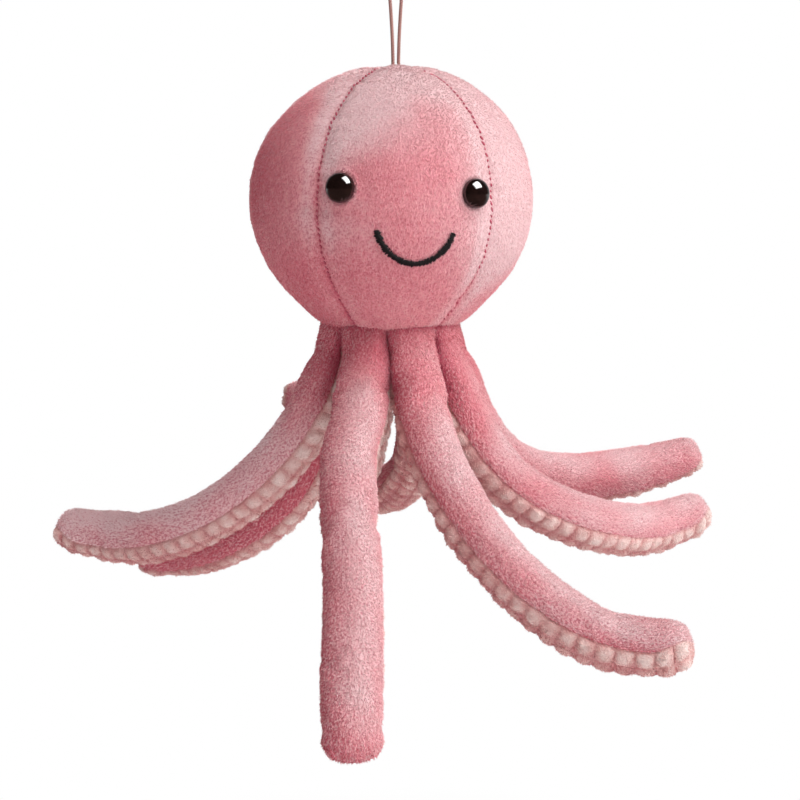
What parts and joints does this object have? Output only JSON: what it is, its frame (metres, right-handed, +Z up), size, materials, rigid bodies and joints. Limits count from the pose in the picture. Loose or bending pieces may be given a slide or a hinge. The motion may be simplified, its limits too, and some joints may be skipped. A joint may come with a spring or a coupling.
{
  "type": "plush octopus",
  "caption": "Stuffed octopus of short-pile plush: a ball head sewn of gores, safety eyes and a stitched smile, soft arms with bubble-fabric undersides, and a cord loop to hang it by.",
  "frame": {"origin": "the top of the hanging loop, inside its bend, where a hook carries the toy", "axes": "+Z up along the hanging cord, the face looks towards -Y, +X is the viewer's right"},
  "size_m": [0.3117, 0.3181, 0.3054],
  "materials": {
    "pink_plush": "short-pile minky plush",
    "bubble_fabric": "plush with small raised puffs in cross ribs",
    "polyester_stuffing": "loose polyester fibre",
    "dark_eye_plastic": "polished dome",
    "washer_plastic": "as moulded",
    "dark_thread": "satin-stitched embroidery thread",
    "brown_pink_cord": "thin twisted cord"
  },
  "bodies": {
    "loop": {"hanging_loop": "brown_pink_cord"},
    "head": {"head_front_panel": "pink_plush", "head_back_panel": "pink_plush", "head_front_left_panel": "pink_plush", "head_front_right_panel": "pink_plush", "head_back_left_panel": "pink_plush", "head_back_right_panel": "pink_plush", "head_filling": "polyester_stuffing", "base_disc": "pink_plush", "eye_left": "dark_eye_plastic", "eye_right": "dark_eye_plastic", "eye_washer_left": "washer_plastic", "eye_washer_right": "washer_plastic", "mouth_stitching": "dark_thread", "loop_knot": "brown_pink_cord"},
    "arm_left_upper": {"arm_left_upper": "pink_plush", "arm_left_upper_strip": "bubble_fabric"},
    "arm_left_lower": {"arm_left_lower": "pink_plush", "arm_left_lower_strip": "bubble_fabric"},
    "arm_front_left_upper": {"arm_front_left_upper": "pink_plush", "arm_front_left_upper_strip": "bubble_fabric"},
    "arm_front_left_lower": {"arm_front_left_lower": "pink_plush", "arm_front_left_lower_strip": "bubble_fabric"},
    "arm_front_right_upper": {"arm_front_right_upper": "pink_plush", "arm_front_right_upper_strip": "bubble_fabric"},
    "arm_front_right_lower": {"arm_front_right_lower": "pink_plush", "arm_front_right_lower_strip": "bubble_fabric"},
    "arm_right_upper": {"arm_right_upper": "pink_plush", "arm_right_upper_strip": "bubble_fabric"},
    "arm_right_lower": {"arm_right_lower": "pink_plush", "arm_right_lower_strip": "bubble_fabric"},
    "arm_back_right_upper": {"arm_back_right_upper": "pink_plush", "arm_back_right_upper_strip": "bubble_fabric"},
    "arm_back_right_lower": {"arm_back_right_lower": "pink_plush", "arm_back_right_lower_strip": "bubble_fabric"},
    "arm_rear_right_upper": {"arm_rear_right_upper": "pink_plush", "arm_rear_right_upper_strip": "bubble_fabric"},
    "arm_rear_right_lower": {"arm_rear_right_lower": "pink_plush", "arm_rear_right_lower_strip": "bubble_fabric"},
    "arm_rear_left_upper": {"arm_rear_left_upper": "pink_plush", "arm_rear_left_upper_strip": "bubble_fabric"},
    "arm_rear_left_lower": {"arm_rear_left_lower": "pink_plush", "arm_rear_left_lower_strip": "bubble_fabric"},
    "arm_back_left_upper": {"arm_back_left_upper": "pink_plush", "arm_back_left_upper_strip": "bubble_fabric"},
    "arm_back_left_lower": {"arm_back_left_lower": "pink_plush", "arm_back_left_lower_strip": "bubble_fabric"}
  },
  "joints": [
    {"name": "head_swing", "type": "hinge", "parent": "loop", "child": "head", "pos_m": [0, 0, -0.05], "axis": [1, 0, 0], "range_deg": [-45, 45]},
    {"name": "arm_left_root", "type": "hinge", "parent": "head", "child": "arm_left_upper", "pos_m": [-0.03049, -0.01026, -0.15789], "axis": [-0.342, 0.9397, 0], "range_deg": [-2, 45], "stiffness_Nm_per_rad": 0.06, "springref_deg": 1.95},
    {"name": "arm_left_bend", "type": "hinge", "parent": "arm_left_upper", "child": "arm_left_lower", "pos_m": [-0.07411, -0.00172, -0.23899], "axis": [0.342, 0.9397, 0], "range_deg": [-30, 30], "stiffness_Nm_per_rad": 0.04, "springref_deg": 1.58},
    {"name": "arm_front_left_root", "type": "hinge", "parent": "head", "child": "arm_front_left_upper", "pos_m": [-0.01498, -0.02719, -0.15789], "axis": [-0.9063, 0.4226, 0], "range_deg": [-2, 45], "stiffness_Nm_per_rad": 0.06, "springref_deg": 2.5},
    {"name": "arm_front_left_bend", "type": "hinge", "parent": "arm_front_left_upper", "child": "arm_front_left_lower", "pos_m": [-0.01743, -0.08426, -0.23106], "axis": [-0.9962, -0.0872, 0], "range_deg": [-30, 30], "stiffness_Nm_per_rad": 0.04, "springref_deg": 1.21},
    {"name": "arm_front_right_root", "type": "hinge", "parent": "head", "child": "arm_front_right_upper", "pos_m": [0.00796, -0.02819, -0.15789], "axis": [-0.9397, -0.342, 0], "range_deg": [-2, 45], "stiffness_Nm_per_rad": 0.06, "springref_deg": 2.1},
    {"name": "arm_front_right_bend", "type": "hinge", "parent": "arm_front_right_upper", "child": "arm_front_right_lower", "pos_m": [0.03565, -0.06432, -0.24029], "axis": [-0.5736, -0.8192, 0], "range_deg": [-30, 30], "stiffness_Nm_per_rad": 0.04, "springref_deg": 1.4},
    {"name": "arm_right_root", "type": "hinge", "parent": "head", "child": "arm_right_upper", "pos_m": [0.02489, -0.01268, -0.15789], "axis": [-0.4226, -0.9063, 0], "range_deg": [-2, 45], "stiffness_Nm_per_rad": 0.06, "springref_deg": 1.68},
    {"name": "arm_right_bend", "type": "hinge", "parent": "arm_right_upper", "child": "arm_right_lower", "pos_m": [0.06681, -0.00606, -0.23894], "axis": [0.342, -0.9397, 0], "range_deg": [-30, 30], "stiffness_Nm_per_rad": 0.04, "springref_deg": 1.58},
    {"name": "arm_back_right_root", "type": "hinge", "parent": "head", "child": "arm_back_right_upper", "pos_m": [0.02589, 0.01026, -0.15789], "axis": [0.342, -0.9397, 0], "range_deg": [-2, 45], "stiffness_Nm_per_rad": 0.06, "springref_deg": 2.56},
    {"name": "arm_back_right_bend", "type": "hinge", "parent": "arm_back_right_upper", "child": "arm_back_right_lower", "pos_m": [0.06616, 0.03639, -0.23325], "axis": [0.5878, -0.809, 0], "range_deg": [-30, 30], "stiffness_Nm_per_rad": 0.04, "springref_deg": 1.68},
    {"name": "arm_rear_right_root", "type": "hinge", "parent": "head", "child": "arm_rear_right_upper", "pos_m": [0.01038, 0.02719, -0.15789], "axis": [0.9063, -0.4226, 0], "range_deg": [-2, 45], "stiffness_Nm_per_rad": 0.06, "springref_deg": 1.99},
    {"name": "arm_rear_right_bend", "type": "hinge", "parent": "arm_rear_right_upper", "child": "arm_rear_right_lower", "pos_m": [0.00572, 0.07084, -0.23949], "axis": [0.9511, 0.309, 0], "range_deg": [-30, 30], "stiffness_Nm_per_rad": 0.04, "springref_deg": 1.61},
    {"name": "arm_rear_left_root", "type": "hinge", "parent": "head", "child": "arm_rear_left_upper", "pos_m": [-0.01256, 0.02819, -0.15789], "axis": [0.9397, 0.342, 0], "range_deg": [-2, 45], "stiffness_Nm_per_rad": 0.06, "springref_deg": 2.07},
    {"name": "arm_rear_left_bend", "type": "hinge", "parent": "arm_rear_left_upper", "child": "arm_rear_left_lower", "pos_m": [-0.02507, 0.06132, -0.2416], "axis": [0.9511, 0.309, 0], "range_deg": [-30, 30], "stiffness_Nm_per_rad": 0.04, "springref_deg": 1.56},
    {"name": "arm_back_left_root", "type": "hinge", "parent": "head", "child": "arm_back_left_upper", "pos_m": [-0.02949, 0.01268, -0.15789], "axis": [0.4226, 0.9063, 0], "range_deg": [-2, 45], "stiffness_Nm_per_rad": 0.06, "springref_deg": 1.86},
    {"name": "arm_back_left_bend", "type": "hinge", "parent": "arm_back_left_upper", "child": "arm_back_left_lower", "pos_m": [-0.05619, 0.02462, -0.24743], "axis": [0.5, 0.866, 0], "range_deg": [-30, 30], "stiffness_Nm_per_rad": 0.04, "springref_deg": 1.5}
  ]
}
